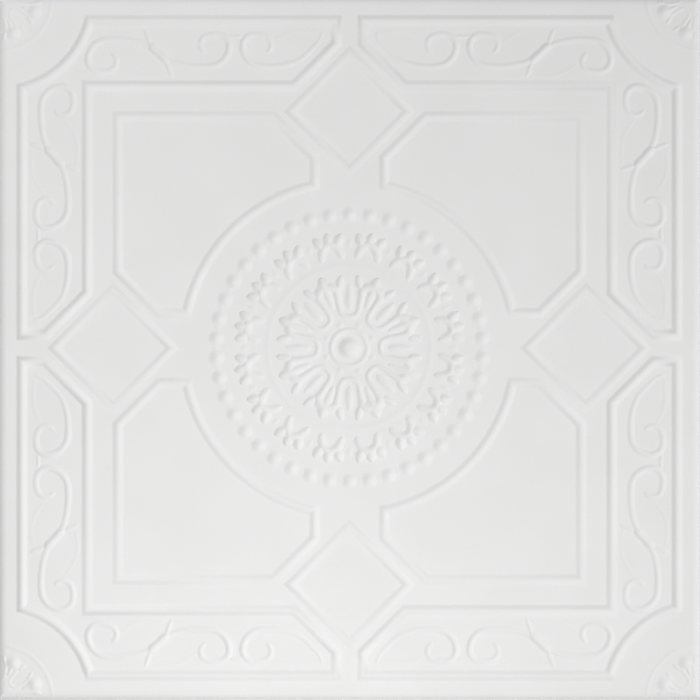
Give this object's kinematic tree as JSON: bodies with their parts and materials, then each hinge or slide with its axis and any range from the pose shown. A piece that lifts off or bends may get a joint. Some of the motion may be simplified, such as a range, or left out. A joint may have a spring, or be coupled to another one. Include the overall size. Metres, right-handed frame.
{
  "type": "polystyrene ceiling tile",
  "caption": "Square moulded foam ceiling tile with a raised rosette, beaded ring and scroll panels, glued flat to a ceiling beside its neighbours.",
  "frame": {"origin": "centre of the flat back face, which lies on the floor or is glued to the ceiling", "axes": "+Z out of the decorated face, X and Y along two edges of the square"},
  "size_m": [0.5, 0.5, 0.0076],
  "materials": {
    "foam": "bare white expanded polystyrene with a smooth closed moulded skin"
  },
  "bodies": {
    "root": {"ceiling_tile": "foam"}
  },
  "joints": []
}
